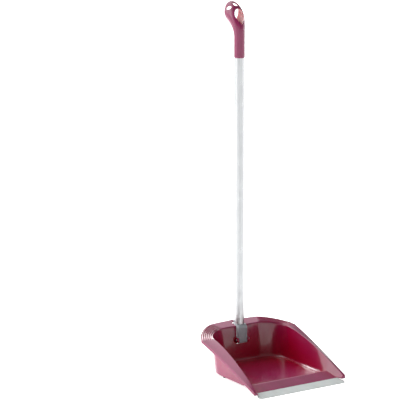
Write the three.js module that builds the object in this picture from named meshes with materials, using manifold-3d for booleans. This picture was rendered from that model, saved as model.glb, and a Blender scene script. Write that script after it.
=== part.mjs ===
// A long-handled dustpan: a moulded pan with a rubber lip, a tubular handle that folds forward over
// the pan on one hinge pin, and a hollow hooked grip.
//
// Millimetres, +Z up. X runs across the pan and -Y is its mouth. The pieces are placed round the
// handle's axis (X = 0, Y = 0), and the last lines move the origin to under the middle of the part.
import * as THREE from "three";
import { mergeVertices } from "three/addons/utils/BufferGeometryUtils.js";
import Module from "manifold-3d";

const wasm = await Module();
wasm.setup();

// ---------------------------------------------------------------- driving dimensions

const gap = 0.3; // left between pieces that touch
const overlap = 2; // how far two shapes of one solid run into each other
const past = 1; // how far a cutter runs past the face it opens
const away = 20; // the same, where nothing is near

const pan = {
  halfWidth: 131.5, // centre line to the rim's outer edge, at the shoulders
  frontReach: 259, // handle axis to the tips of the rim
  height: 100, // ground to the rim's outer edge at the back
  wall: 2.2,
  floorTop: 9, // ground to the inside of the floor
  floorThickness: 2.2,
  plinth: 4.5, // ground to the lower edge of the walls, behind the step
  frontPlinth: 6.5, // the same, in front of the step
  stepSetback: 85, // tips to the step
};

const rim = {
  backWeb: 11.4, // back of the notch to the rim's outer edge
  backBow: 4, // how much further back the rim's middle is than the ends of its corners
  sideWidth: 28, // flange, inner edge to outer edge, at the shoulders
  tipWidth: 6, // the same at the tips
  tipInset: 5, // how much narrower than the shoulders the tips stand
  tipTop: 13, // ground to the top of the tips
  skirt: 7, // height of the turned-down outer edge
  edgeRound: 1,
  backDrop: 6.5, // how far the inner edge lies below the outer edge at the back
  shoulderDrop: 10, // how far the outer edge falls from the back to the shoulders
  innerShoulderDrop: 2, // how much lower the inner edge is there
  shoulderReach: 17, // handle axis to the shoulders, where the outer edge starts to fall to the tips
  innerShoulderReach: 37, // the same for the inner edge
  outerFall: 1.2, // powers of the falling curves: 1 is a straight line
  innerFall: 1.6,
};

const corner = {
  outerRun: 69, // plan size of each rear corner, measured in from the sides
  outerDepth: 67, // and forward from the back
  outerPower: 1.4, // superellipse powers: 2 is an ellipse, lower is flatter
  innerRun: 56,
  innerDepth: 53,
  innerPower: 1.8,
  baseRun: 57,
  baseDepth: 63,
  basePower: 2,
};

// How much further in the foot of the wall stands than the flange's inner edge.
const lean = { back: 6, side: 1, ridge: 2.5, tip: 1 };

const ribs = {
  count: 5, // ridges pressed into the flange round each rear corner
  height: 1.1,
  start: 0.42, // where they begin and end along the half rim, from the tip (0) to the back (1)
  end: 0.83,
  fade: 0.05,
};

const ramp = {
  ridgeRise: 7.5, // floor to the ridge behind the ramp
  ridgeFlat: 3,
  backSlope: 7, // length of the short slope behind the ridge
  length: 34, // ridge to the ramp's front edge, where the lip starts
  endTop: 7.5, // ground to the ramp's front edge
  tipOverhang: 13, // ramp's front edge to the tips
};

const lip = {
  length: 25, // ramp's front edge to the lip's front edge
  frontInset: 15.5, // shoulders to the lip's end at its front edge
  earInset: 12, // the same at its widest
  earReach: 1, // tips to its widest
  edgeThickness: 0.8,
  groundContact: 9, // length of the part that lies flat on the ground
  flap: 0.9, // rubber above and below the pan's tongue
  tipClearance: 2.5, // how far behind the tips the lip narrows to fit between the walls
};

const tongue = { length: 8, thickness: 1.2, sideInset: 6 }; // the pan's edge, held inside the lip

const foot = {
  radius: 4,
  topRadius: 4.6,
  edge: 0.6, // bevel round the tread
  sideInset: 5.3, // inside of the side walls to the front feet's centres
  frontReach: 84,
  rearX: 42,
  rearReach: 36,
};

const tube = {
  radius: 11,
  wall: 1,
  length: 682.7,
  crimpRadius: 1.7, // dimples pressed into the tube to hold the boot
  crimpFloor: 1, // radius of a dimple's flat floor
  crimpDepth: 0.6,
  crimpRows: [13, 27], // heights of the two rows above the tube's lower end
  crimpsPerRow: 3,
  crimpTurn: -33, // degrees from the front to the first dimple of each row
};

const hinge = {
  drop: 40, // rim at the back to the pin
  forward: 1.3, // tube's front to the pin
  pinRadius: 2.2,
  headLip: 1.2, // head's radius beyond the pin's
  headThickness: 1.5,
  cheekWeb: 4.3, // material round the pin in the pan's ears
  cheekThickness: 4.5,
  capDepth: 1.4, // how far the cap goes over the pin's end
  capEnd: 0.8, // thickness of the cap's end
};

const boot = {
  sideCover: 0.5, // how much wider than the tube it is on each side
  plateForward: 4, // pin to the front plate
  underPin: 7.5, // pin to its lower end
  cornerRadius: 4,
  plateRise: 30, // pin to the top of the front plate
  rise: 37, // pin to the shoulder that the tube stands on
  heelInset: 1,
  heelRise: 4,
  panelInset: 3.2, // border round the sunk panel on the front plate
  panelLift: 1, // top of the rounded lower corner to the panel
  panelDepth: 1,
  spigotLength: 38,
  spigotHollow: 6.5, // radius of the bore down the spigot
  spigotFloor: 2, // shoulder to the bottom of the bore
  spigotBevel: 1.5,
  latchHalfWidth: 5,
  latchRise: 5.7, // shoulder to the latch's top
  latchDepth: 7, // front to back
  latchBevel: 1.5,
};

const notch = { sideClearance: 1, underClearance: 2, cornerRadius: 5 }; // round the boot

const grip = {
  socketDepth: 44, // how far the tube goes in
  collarWall: 1.3,
  collarBevel: 1.2,
  wall: 2.2,
  bendStart: 49, // collar's lower end to where the neck starts to lean back
  bendReach: 44, // semi-axes of the quarter ellipse that the neck's centre line follows
  bendRise: 58,
  widenEnd: 65, // degrees round the bend to where the hood reaches its full size
  hoodHalfWidth: 20,
  hoodHalfDepth: 22.8,
  mouthTop: [-8, 132], // the bent cut that opens the hood: Y from the end of the bend, Z from the collar
  mouthCorner: [-12, 84],
  mouthBottom: [-24, 66],
  eyeHalfWidth: 11.5, // the large drop-shaped opening through the front of the hood
  eyeHalfHeight: 19,
  eyeBend: 42, // degrees round the bend to its middle
  crownHole: [4.7, 7], // half sizes of the three small ovals on the crown
  crownFan: 45, // degrees each outer one is turned, so that all three point at the large opening
  crownBend: 69, // degrees round the bend to them
  crownSpread: 48, // degrees between one and the next
  throatHalfWidth: 6.5, // the opening in the back of the neck
  throatHalfHeight: 8,
  throatRise: 54, // collar's lower end to its middle
};

// ---------------------------------------------------------------- places worked out from them

// Distances are forward from the handle axis, and heights are above the ground.
const pivotReach = tube.radius + hinge.forward;
const pivotHeight = pan.height - hinge.drop;
const headRadius = hinge.pinRadius + hinge.headLip;

const bootHalfWidth = tube.radius + boot.sideCover;
const plateReach = pivotReach + boot.plateForward;
const shoulderHeight = pivotHeight + boot.rise;
const latchBack = tube.radius + gap + boot.latchDepth;
const notchBack = latchBack + gap;
const cheekOuterX = bootHalfWidth + gap + hinge.cheekThickness;

const tubeBottom = shoulderHeight + gap;
const tubeTop = tubeBottom + tube.length;
const gripBottom = tubeTop - grip.socketDepth;
const collarRadius = tube.radius + gap + grip.collarWall;

const ridgeTop = pan.floorTop + ramp.ridgeRise;
const rampEnd = pan.frontReach - ramp.tipOverhang;
const ridgeReach = rampEnd - ramp.length;
const lipFront = rampEnd + lip.length;
const stepReach = pan.frontReach - pan.stepSetback;

// The back wall leans, and its inner face clears the pin's head by the gap.
const innerTop = pan.height - rim.backDrop;
const leanAbovePin = (lean.back * (innerTop - pivotHeight)) / (innerTop - pan.floorTop);
const innerBackY = -(pivotReach - headRadius - gap) + pan.wall + leanAbovePin;
const rearReach = notchBack + rim.backWeb;

// ---------------------------------------------------------------- solids and meshes

// A closed geometry as a manifold-3d solid, turned face outwards if it was made inside out.
function solidFrom(geometry) {
  const bare = new THREE.BufferGeometry();
  bare.setAttribute("position", geometry.getAttribute("position"));
  bare.setIndex(geometry.getIndex());
  const merged = mergeVertices(bare, 1e-4);
  const vertProperties = new Float32Array(merged.getAttribute("position").array);
  const triVerts = new Uint32Array(merged.getIndex().array);
  const made = new wasm.Manifold(new wasm.Mesh({ numProp: 3, vertProperties, triVerts }));
  if (made.volume() > 0) return made;
  return new wasm.Manifold(new wasm.Mesh({ numProp: 3, vertProperties, triVerts: triVerts.reverse() }));
}

function namedMesh(name, solid, look) {
  const { vertProperties, triVerts } = solid.getMesh();
  const geometry = new THREE.BufferGeometry();
  geometry.setAttribute("position", new THREE.BufferAttribute(vertProperties, 3));
  geometry.setIndex(new THREE.BufferAttribute(triVerts, 1));
  geometry.computeVertexNormals();
  const mesh = new THREE.Mesh(geometry, new THREE.MeshStandardMaterial(look));
  mesh.name = name;
  return mesh;
}

// Joins rings of equal length into a closed skin, with a flat cap on the first and last ring.
// flatten gives a ring point's two coordinates in the plane of the caps.
function skin(rings, flatten) {
  const size = rings[0].length;
  const indices = [];
  for (let r = 0; r + 1 < rings.length; r++) {
    for (let k = 0; k < size; k++) {
      const next = (k + 1) % size;
      const [a, b] = [r * size + k, r * size + next];
      indices.push(a, b, b + size, a, b + size, a + size);
    }
  }
  const capStarts = [0, (rings.length - 1) * size];
  capStarts.forEach((start, end) => {
    const contour = rings[end ? rings.length - 1 : 0].map((p) => new THREE.Vector2(...flatten(p)));
    const wanted = Math.sign(THREE.ShapeUtils.area(contour));
    for (const face of THREE.ShapeUtils.triangulateShape(contour, [])) {
      const turn = Math.sign(THREE.ShapeUtils.area(face.map((k) => contour[k])));
      const [a, b, c] = face.map((k) => k + start);
      if ((turn === wanted) === (end === 1)) indices.push(a, b, c);
      else indices.push(a, c, b);
    }
  });
  const geometry = new THREE.BufferGeometry();
  geometry.setAttribute("position", new THREE.Float32BufferAttribute(rings.flat().flat(), 3));
  geometry.setIndex(indices);
  return solidFrom(geometry);
}

function asShape(outline) {
  if (outline instanceof THREE.Shape) return outline;
  return new THREE.Shape(outline.map((p) => new THREE.Vector2(...p)));
}

// A plan outline, as [x, y] points or a Shape, raised from one height to another.
function prismUp(outline, bottom, top) {
  const geometry = new THREE.ExtrudeGeometry(asShape(outline), {
    depth: top - bottom,
    bevelEnabled: false,
    curveSegments: 8,
  });
  geometry.translate(0, 0, bottom);
  return solidFrom(geometry);
}

// A side outline of [y, z] points, drawn out across the part to halfWidth on each side.
function prismAcross(outline, halfWidth, centreX = 0) {
  const geometry = new THREE.ExtrudeGeometry(asShape(outline), {
    depth: 2 * halfWidth,
    bevelEnabled: false,
    curveSegments: 10,
  });
  geometry.applyMatrix4(new THREE.Matrix4().set(0, 0, 1, centreX - halfWidth, 1, 0, 0, 0, 0, 1, 0, 0, 0, 0, 0, 1));
  return solidFrom(geometry);
}

function rodAcross(radius, fromX, toX, y, z, sides = 20) {
  const geometry = new THREE.CylinderGeometry(radius, radius, toX - fromX, sides);
  geometry.rotateZ(Math.PI / 2);
  geometry.translate((fromX + toX) / 2, y, z);
  return solidFrom(geometry);
}

// A turned piece about the vertical through (x, y), from [radius, z] points.
function turned(profile, x = 0, y = 0, sides = 32) {
  const geometry = new THREE.LatheGeometry(
    profile.map((p) => new THREE.Vector2(...p)),
    sides,
  );
  geometry.rotateX(Math.PI / 2);
  geometry.translate(x, y, 0);
  return solidFrom(geometry);
}

const mix = THREE.MathUtils.lerp;
const ease = THREE.MathUtils.smoothstep;
const turn = (degrees) => THREE.MathUtils.degToRad(degrees);

// ---------------------------------------------------------------- the pan's outlines

// Each outline is half of a U, from the tip on the +X side (0) round to the middle of the back (1):
// a side that may bend at a knee, a superellipse corner and a nearly straight back.
const sideShare = 0.42;
const cornerShare = 0.42;

function halfOutline({ tip, knee, side, back, centreY, power }) {
  return (along) => {
    if (along < sideShare) {
      const y = mix(tip[1], side[1], along / sideShare);
      if (!knee) return [mix(tip[0], side[0], along / sideShare), y];
      if (y < knee[1]) return [mix(tip[0], knee[0], (y - tip[1]) / (knee[1] - tip[1])), y];
      return [mix(knee[0], side[0], (y - knee[1]) / (side[1] - knee[1])), y];
    }
    if (along < sideShare + cornerShare) {
      const angle = ((along - sideShare) / cornerShare) * (Math.PI / 2);
      const inward = Math.cos(angle) ** (2 / power);
      const backward = Math.sin(angle) ** (2 / power);
      return [mix(back[0], side[0], inward), mix(side[1], back[1], backward)];
    }
    const share = (along - sideShare - cornerShare) / (1 - sideShare - cornerShare);
    return [mix(back[0], 0, share), mix(back[1], centreY, share)];
  };
}

const outerBackY = rearReach - rim.backBow;
const innerSideX = pan.halfWidth - rim.sideWidth;
const innerTipX = pan.halfWidth - rim.tipInset - rim.tipWidth;
const baseBackY = innerBackY - lean.back;
const baseSideX = innerSideX - lean.side;

const outerEdge = halfOutline({
  tip: [pan.halfWidth - rim.tipInset, -pan.frontReach],
  side: [pan.halfWidth, outerBackY - corner.outerDepth],
  back: [pan.halfWidth - corner.outerRun, outerBackY],
  centreY: rearReach,
  power: corner.outerPower,
});

const innerEdge = halfOutline({
  tip: [innerTipX, -pan.frontReach],
  side: [innerSideX, innerBackY - corner.innerDepth],
  back: [innerSideX - corner.innerRun, innerBackY],
  centreY: innerBackY,
  power: corner.innerPower,
});

const baseEdge = halfOutline({
  tip: [innerTipX - lean.tip, -pan.frontReach],
  knee: [innerSideX - lean.ridge, -ridgeReach],
  side: [baseSideX, baseBackY - corner.baseDepth],
  back: [baseSideX - corner.baseRun, baseBackY],
  centreY: baseBackY,
  power: corner.basePower,
});

// Height of a rim edge: it falls from the back to the shoulders, then in a curve down to the tips.
function rimHeight(y, backY, topZ, shoulderZ, shoulderY, power) {
  if (y > shoulderY) return mix(shoulderZ, topZ, (y - shoulderY) / (backY - shoulderY));
  const share = (shoulderY - y) / (shoulderY + pan.frontReach);
  return shoulderZ - (shoulderZ - rim.tipTop) * share ** power;
}

function outerHeight(y) {
  const shoulderZ = pan.height - rim.shoulderDrop;
  return rimHeight(y, rearReach, pan.height, shoulderZ, -rim.shoulderReach, rim.outerFall);
}

function innerHeight(y) {
  const shoulderZ = pan.height - rim.shoulderDrop - rim.innerShoulderDrop;
  return rimHeight(y, innerBackY, innerTop, shoulderZ, -rim.innerShoulderReach, rim.innerFall);
}

const wallBottom = (y) => (y < -stepReach ? pan.frontPlinth : pan.plinth);

// The outward direction of an outline, in plan.
function outward(edge, along) {
  const step = 1e-3;
  const [ax, ay] = edge(Math.max(along - step, 0));
  const [bx, by] = edge(Math.min(along + step, 1 - 1e-6));
  const length = Math.hypot(bx - ax, by - ay);
  return [(by - ay) / length, -(bx - ax) / length];
}

// ---------------------------------------------------------------- pan_body

// One section of the wall, flange and skirt: a closed ring of [x, y, z] points.
function wallSection(along, mirror) {
  const [ox, oy] = outerEdge(along);
  const [ix, iy] = innerEdge(along);
  const [bx, by] = baseEdge(along);
  const [nx, ny] = outward(baseEdge, along);
  const width = Math.hypot(ox - ix, oy - iy);
  const [dx, dy] = [(ox - ix) / width, (oy - iy) / width];
  const oz = outerHeight(oy);
  const iz = innerHeight(iy);
  const bottom = wallBottom(by);
  const round = rim.edgeRound;
  const flange = (share, lift) => [ix + (ox - ix) * share, iy + (oy - iy) * share, mix(iz, oz, share) + lift];
  const skirtBottom = Math.max(oz - rim.skirt, pan.frontPlinth);

  const ring = [
    [bx, by, bottom],
    [ix + dx * pan.wall, iy + dy * pan.wall, iz - pan.wall],
    [ox - dx * pan.wall, oy - dy * pan.wall, oz - pan.wall],
    [ox - dx * pan.wall, oy - dy * pan.wall, skirtBottom],
    [ox, oy, skirtBottom],
    [ox, oy, oz - round],
  ];
  const first = round / width;
  const band = (1 - 2 * first) / (2 * ribs.count);
  const raised = ease(along, ribs.start, ribs.start + ribs.fade) - ease(along, ribs.end - ribs.fade, ribs.end);
  for (let k = 0; k <= 2 * ribs.count; k++) {
    const lift = k % 2 ? ribs.height * raised : 0;
    ring.push(flange(1 - first - k * band, lift));
  }
  ring.push([ix, iy, iz - round]);
  ring.push([bx - nx * pan.wall, by - ny * pan.wall, pan.floorTop + round]);
  ring.push([bx - nx * pan.wall, by - ny * pan.wall, bottom]);
  return ring.map(([x, y, z]) => [mirror * x, y, z]);
}

// Stations along the half rim, closer together round the corner, at the ridge and at the step.
function wallStations() {
  const [, tipY] = baseEdge(0);
  const [, sideY] = baseEdge(sideShare);
  const shareAt = (y) => (sideShare * (y - tipY)) / (sideY - tipY);
  const crestBack = ridgeReach - ramp.ridgeFlat / 2;
  const stations = [0, 0.02, shareAt(-ridgeReach), shareAt(-stepReach - 0.5), shareAt(-stepReach + 0.5)];
  stations.push(shareAt(-crestBack), shareAt(-crestBack + ramp.backSlope));
  const sideSteps = 8;
  const cornerSteps = 18;
  for (let k = 1; k < sideSteps; k++) stations.push((k / sideSteps) * sideShare);
  for (let k = 0; k <= cornerSteps; k++) stations.push(sideShare + (k / cornerSteps) * cornerShare * 0.999);
  stations.push(0.9, 0.999);
  return stations.sort((a, b) => a - b);
}

function panWalls() {
  const stations = wallStations();
  const right = stations.map((along) => wallSection(along, 1));
  const left = stations.map((along) => wallSection(along, -1)).reverse();
  return skin([...right, ...left], ([x, , z]) => [x, z]);
}

const rampFall = (ridgeTop - ramp.endTop) / (ramp.length - ramp.ridgeFlat / 2);
const rampTopAt = (reach) => ramp.endTop + (rampEnd - reach) * rampFall;

// Height of the middle of the floor, ridge or ramp, at a distance in front of the handle axis.
function floorMiddle(reach) {
  const half = pan.floorThickness / 2;
  if (reach > ridgeReach + ramp.ridgeFlat / 2) return rampTopAt(reach) - half;
  const rise = 1 - (ridgeReach - ramp.ridgeFlat / 2 - reach) / ramp.backSlope;
  return pan.floorTop - half + ramp.ridgeRise * Math.min(Math.max(rise, 0), 1);
}

// The middle of the leaning walls in plan, at the height where the floor, ridge or ramp meets them.
function floorPlan() {
  const half = pan.wall / 2;
  const right = wallStations().map((along) => {
    const [bx, by] = baseEdge(along);
    const [ix, iy] = innerEdge(along);
    const [nx, ny] = outward(baseEdge, along);
    const bottom = wallBottom(by);
    const share = Math.max(floorMiddle(-by) - bottom, 0) / (innerHeight(iy) - bottom);
    return [mix(bx - nx * half, ix + nx * half, share), mix(by - ny * half, iy + ny * half, share)];
  });
  const left = right.map(([x, y]) => [-x, y]).reverse();
  const front = right[0][0];
  return [[-front, -lipFront], [front, -lipFront], ...right, ...left];
}

// Side outline of the floor, the ridge and the ramp, one wall thick.
function floorOutline() {
  const crest = [ridgeReach - ramp.ridgeFlat / 2, ridgeReach + ramp.ridgeFlat / 2];
  const toe = crest[0] - ramp.backSlope;
  const under = pan.floorTop - pan.floorThickness;
  return [
    [rearReach, pan.floorTop],
    [-toe, pan.floorTop],
    [-crest[0], ridgeTop],
    [-crest[1], ridgeTop],
    [-rampEnd, ramp.endTop],
    [-rampEnd, ramp.endTop - pan.floorThickness],
    [-crest[1], ridgeTop - pan.floorThickness],
    [-crest[0] - pan.wall, ridgeTop - pan.floorThickness],
    [-toe - pan.wall, under],
    [rearReach, under],
  ];
}

// The thin edge in front of the ramp that the lip is pushed on to.
function tongueSolid() {
  const start = rampEnd - overlap;
  const end = rampEnd + tongue.length;
  const top = (reach) => rampTopAt(reach) - lip.flap - gap;
  const outline = [
    [-start, top(start)],
    [-end, top(end)],
    [-end, top(end) - tongue.thickness],
    [-start, top(start) - tongue.thickness],
  ];
  return prismAcross(outline, rampHalfWidth(rampEnd) - tongue.sideInset);
}

// Half the inside width between the flared walls, at a distance in front of the handle axis.
function rampHalfWidth(reach) {
  const [tipX, tipY] = baseEdge(0);
  const kneeX = innerSideX - lean.ridge;
  const length = pan.frontReach - ridgeReach;
  const wallAcross = pan.wall * Math.hypot(1, (tipX - kneeX) / length);
  return mix(tipX, kneeX, (-reach - tipY) / length) - wallAcross;
}

// The opening in the back wall and flange that the boot turns in.
function notchCutter() {
  const front = -plateReach - 2 * away;
  const halfWidth = bootHalfWidth + notch.sideClearance;
  const r = notch.cornerRadius;
  const shape = new THREE.Shape();
  shape.moveTo(-halfWidth, front);
  shape.lineTo(halfWidth, front);
  shape.lineTo(halfWidth, notchBack - r);
  shape.absarc(halfWidth - r, notchBack - r, r, 0, Math.PI / 2);
  shape.lineTo(-halfWidth + r, notchBack);
  shape.absarc(-halfWidth + r, notchBack - r, r, Math.PI / 2, Math.PI);
  shape.closePath();
  return prismUp(shape, pivotHeight - boot.underPin - notch.underClearance, pan.height + away);
}

// The two ears beside the notch that carry the pin.
function cheek(side) {
  const inner = bootHalfWidth + gap;
  const r = hinge.pinRadius + hinge.cheekWeb;
  const wallY = innerBackY - pan.wall / 2;
  const shape = new THREE.Shape();
  shape.moveTo(wallY, pivotHeight + r);
  shape.lineTo(-pivotReach, pivotHeight + r);
  shape.absarc(-pivotReach, pivotHeight, r, Math.PI / 2, (3 * Math.PI) / 2);
  shape.lineTo(wallY, pivotHeight - r);
  shape.closePath();
  return prismAcross(shape, hinge.cheekThickness / 2, side * (inner + hinge.cheekThickness / 2));
}

// The hole for the pin through both ears, or through the boot.
const pinHole = () => rodAcross(hinge.pinRadius + gap, -cheekOuterX - past, cheekOuterX + past, -pivotReach, pivotHeight);

function panBody() {
  const floor = prismAcross(floorOutline(), pan.halfWidth).intersect(prismUp(floorPlan(), 0, pan.height));
  return panWalls()
    .add(floor)
    .add(tongueSolid())
    .subtract(notchCutter())
    .add(cheek(1))
    .add(cheek(-1))
    .subtract(pinHole());
}

// ---------------------------------------------------------------- lip_strip and feet

function lipStrip() {
  const root = rampEnd + gap;
  const slotEnd = rampEnd + tongue.length + gap;
  const slotTop = (reach) => rampTopAt(reach) - lip.flap;
  const slotBottom = (reach) => slotTop(reach) - tongue.thickness - 2 * gap;
  const side = prismAcross(
    [
      [-lipFront, 0],
      [-lipFront, lip.edgeThickness],
      [-root, rampTopAt(root)],
      [-root, slotTop(root)],
      [-slotEnd, slotTop(slotEnd)],
      [-slotEnd, slotBottom(slotEnd)],
      [-root, slotBottom(root)],
      [-root, slotBottom(root) - lip.flap],
      [-lipFront + lip.groundContact, 0],
    ],
    pan.halfWidth,
  );
  const clearOfWall = (reach) => rampHalfWidth(reach) - gap;
  const neck = pan.frontReach - lip.tipClearance;
  const right = [
    [pan.halfWidth - lip.frontInset, -lipFront],
    [pan.halfWidth - lip.earInset, -pan.frontReach - lip.earReach],
    [clearOfWall(neck), -neck],
    [clearOfWall(root - past), -root + past],
  ];
  const left = right.map(([x, y]) => [-x, y]).reverse();
  return side.intersect(prismUp([...right, ...left], -past, ridgeTop));
}

function footPad(x, reach) {
  const top = pan.floorTop - pan.floorThickness - gap;
  const profile = [
    [0, 0],
    [foot.radius - foot.edge, 0],
    [foot.radius, foot.edge],
    [foot.topRadius, top],
    [0, top],
  ];
  return turned(profile, x, -reach, 20);
}

// ---------------------------------------------------------------- handle_tube and handle_boot

function handleTube() {
  const inner = tube.radius - tube.wall;
  const profile = [
    [inner, tubeBottom],
    [tube.radius, tubeBottom],
    [tube.radius, tubeTop],
    [inner, tubeTop],
    [inner, tubeBottom],
  ];
  let solid = turned(profile, 0, 0, 48);
  for (const rise of tube.crimpRows) {
    for (let k = 0; k < tube.crimpsPerRow; k++) {
      const dimple = new THREE.CylinderGeometry(tube.crimpRadius, tube.crimpFloor, 2 * tube.crimpDepth, 10);
      dimple.translate(0, -tube.radius, 0);
      dimple.rotateZ((2 * Math.PI * k) / tube.crimpsPerRow + turn(tube.crimpTurn));
      dimple.translate(0, 0, tubeBottom + rise);
      solid = solid.subtract(solidFrom(dimple));
    }
  }
  return solid;
}

// Side outline of the boot: a front plate rounded under the pin, a sloping top and a heel.
function bootOutline() {
  const r = boot.cornerRadius;
  const under = pivotHeight - boot.underPin;
  const shape = new THREE.Shape();
  shape.moveTo(-plateReach, under + r);
  shape.absarc(-plateReach + r, under + r, r, Math.PI, 1.5 * Math.PI);
  shape.lineTo(-pivotReach + r, under);
  shape.lineTo(tube.radius - boot.heelInset, pivotHeight);
  shape.lineTo(tube.radius, pivotHeight + boot.heelRise);
  shape.lineTo(tube.radius, shoulderHeight);
  shape.lineTo(-tube.radius, shoulderHeight);
  shape.lineTo(-plateReach, pivotHeight + boot.plateRise);
  shape.closePath();
  return shape;
}

// The plug inside the tube, hollow from above.
function bootSpigot() {
  const radius = tube.radius - tube.wall - gap;
  const top = shoulderHeight + boot.spigotLength;
  return turned([
    [0, shoulderHeight - 2 * overlap],
    [radius, shoulderHeight - 2 * overlap],
    [radius, top - boot.spigotBevel],
    [radius - boot.spigotBevel, top],
    [boot.spigotHollow, top],
    [boot.spigotHollow, shoulderHeight + boot.spigotFloor],
    [0, shoulderHeight + boot.spigotFloor],
  ]);
}

// The tab behind the tube that stops against the end of the notch.
function bootLatch() {
  const front = tube.radius + gap;
  const top = shoulderHeight + boot.latchRise;
  const outline = [
    [0, shoulderHeight - 2 * boot.latchDepth],
    [tube.radius, shoulderHeight - 2 * boot.latchDepth],
    [latchBack, shoulderHeight - boot.latchDepth],
    [latchBack, top - boot.latchBevel],
    [latchBack - boot.latchBevel, top],
    [front, top],
    [front, shoulderHeight],
    [0, shoulderHeight],
  ];
  return prismAcross(outline, boot.latchHalfWidth);
}

// The shallow panel sunk into the front plate.
function bootPanel() {
  const floorY = -plateReach + boot.panelDepth;
  const outerY = -plateReach - boot.panelDepth;
  const bottom = pivotHeight - boot.underPin + boot.cornerRadius + boot.panelLift;
  const top = pivotHeight + boot.plateRise - boot.panelInset;
  const outline = [
    [outerY, bottom],
    [floorY, bottom],
    [floorY, top],
    [outerY, top],
  ];
  return prismAcross(outline, bootHalfWidth - boot.panelInset);
}

function handleBoot() {
  return prismAcross(bootOutline(), bootHalfWidth)
    .add(bootSpigot())
    .add(bootLatch())
    .subtract(bootPanel())
    .subtract(pinHole());
}

// ---------------------------------------------------------------- hinge_pin and pin_cap

const pinEndX = cheekOuterX + gap + hinge.capDepth;

function hingePin() {
  const headInner = -cheekOuterX - gap;
  const headOuter = headInner - hinge.headThickness;
  const shank = rodAcross(hinge.pinRadius, headInner - hinge.headThickness / 2, pinEndX, -pivotReach, pivotHeight);
  const head = rodAcross(headRadius, headOuter, headInner, -pivotReach, pivotHeight);
  return shank.add(head);
}

// A push-on cap with a blind hole for the pin's end.
function pinCap() {
  const inner = cheekOuterX + gap;
  const holeEnd = pinEndX + gap;
  const body = rodAcross(headRadius, inner, holeEnd + hinge.capEnd, -pivotReach, pivotHeight);
  const hole = rodAcross(hinge.pinRadius + gap, inner - past, holeEnd, -pivotReach, pivotHeight);
  return body.subtract(hole);
}

// ---------------------------------------------------------------- grip

// A section of the grip's bar: its place and lean on the centre line, and its half sizes.
function gripSection(degrees) {
  const angle = turn(degrees);
  const widen = ease(degrees, 0, grip.widenEnd);
  return {
    y: grip.bendReach * (1 - Math.cos(angle)),
    z: gripBottom + grip.bendStart + grip.bendRise * Math.sin(angle),
    lean: Math.atan2(grip.bendReach * Math.sin(angle), grip.bendRise * Math.cos(angle)),
    halfWidth: mix(collarRadius, grip.hoodHalfWidth, widen),
    halfDepth: mix(collarRadius, grip.hoodHalfDepth, widen),
  };
}

// The oval outline of a section, shrunk by inset.
function gripRing({ y, z, lean, halfWidth, halfDepth }, inset) {
  const sides = 28;
  const ring = [];
  for (let k = 0; k < sides; k++) {
    const angle = (2 * Math.PI * k) / sides;
    const across = (halfWidth - inset) * Math.sin(angle);
    const forward = (halfDepth - inset) * Math.cos(angle);
    ring.push([across, y - forward * Math.cos(lean), z + forward * Math.sin(lean)]);
  }
  return ring;
}

// The neck and hood as one bent oval bar, shrunk by inset, from a height to past the mouth.
function gripBar(inset, bottom) {
  const rings = [gripRing({ ...gripSection(0), z: bottom }, inset)];
  const steps = 12;
  for (let k = 0; k <= steps; k++) rings.push(gripRing(gripSection((k / steps) * 90), inset));
  const end = gripSection(90);
  rings.push(gripRing({ ...end, y: end.y + grip.hoodHalfDepth + inset }, inset));
  return skin(rings, ([x, y, z]) => [x, y + z]);
}

// Everything behind the bent cut of the mouth.
function mouthCutter() {
  const at = ([y, z]) => [grip.bendReach + y, gripBottom + z];
  const bottom = at(grip.mouthBottom);
  const top = at(grip.mouthTop);
  const far = 3 * grip.hoodHalfDepth;
  const side = [
    bottom,
    [bottom[0] + far, bottom[1]],
    [top[0] + far, top[1] + far],
    [top[0], top[1] + far],
    top,
    at(grip.mouthCorner),
  ];
  return prismAcross(side, 2 * grip.hoodHalfWidth);
}

// A punch through the front of the bar at a bend angle, turned sideways, from a flat outline.
function gripPunch(outline, degrees, spread) {
  const { y, z, lean, halfDepth } = gripSection(degrees);
  const depth = halfDepth + away;
  const geometry = new THREE.ExtrudeGeometry(outline, { depth, bevelEnabled: false, curveSegments: 10 });
  geometry.translate(0, 0, overlap);
  geometry.rotateX(Math.PI / 2);
  geometry.rotateZ(turn(spread));
  geometry.rotateX(-lean);
  geometry.translate(0, y, z);
  return solidFrom(geometry);
}

// A drop with its point down.
function eyeOutline() {
  const [w, h] = [grip.eyeHalfWidth, grip.eyeHalfHeight];
  const shape = new THREE.Shape();
  shape.moveTo(0, -h);
  shape.bezierCurveTo(w * 0.35, -h * 0.8, w, -h * 0.35, w, h * 0.25);
  shape.bezierCurveTo(w, h * 0.75, w * 0.55, h, 0, h);
  shape.bezierCurveTo(-w * 0.55, h, -w, h * 0.75, -w, h * 0.25);
  shape.bezierCurveTo(-w, -h * 0.35, -w * 0.35, -h * 0.8, 0, -h);
  return shape;
}

function ovalOutline(halfWidth, halfHeight, slant = 0) {
  const shape = new THREE.Shape();
  shape.absellipse(0, 0, halfWidth, halfHeight, 0, 2 * Math.PI, false, slant);
  return shape;
}

// The bore for the tube, up to its top end.
function gripBore() {
  const bore = tube.radius + gap;
  return turned([
    [0, gripBottom - past],
    [bore, gripBottom - past],
    [bore, tubeTop + gap],
    [0, tubeTop + gap],
  ]);
}

// The ring that is cut off the lower end of the collar to bevel it.
function collarBevel() {
  const inner = collarRadius - grip.collarBevel;
  const outer = collarRadius + past;
  return turned([
    [inner, gripBottom - past],
    [outer, gripBottom - past],
    [outer, gripBottom + grip.collarBevel + past],
    [inner, gripBottom],
    [inner, gripBottom - past],
  ]);
}

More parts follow.
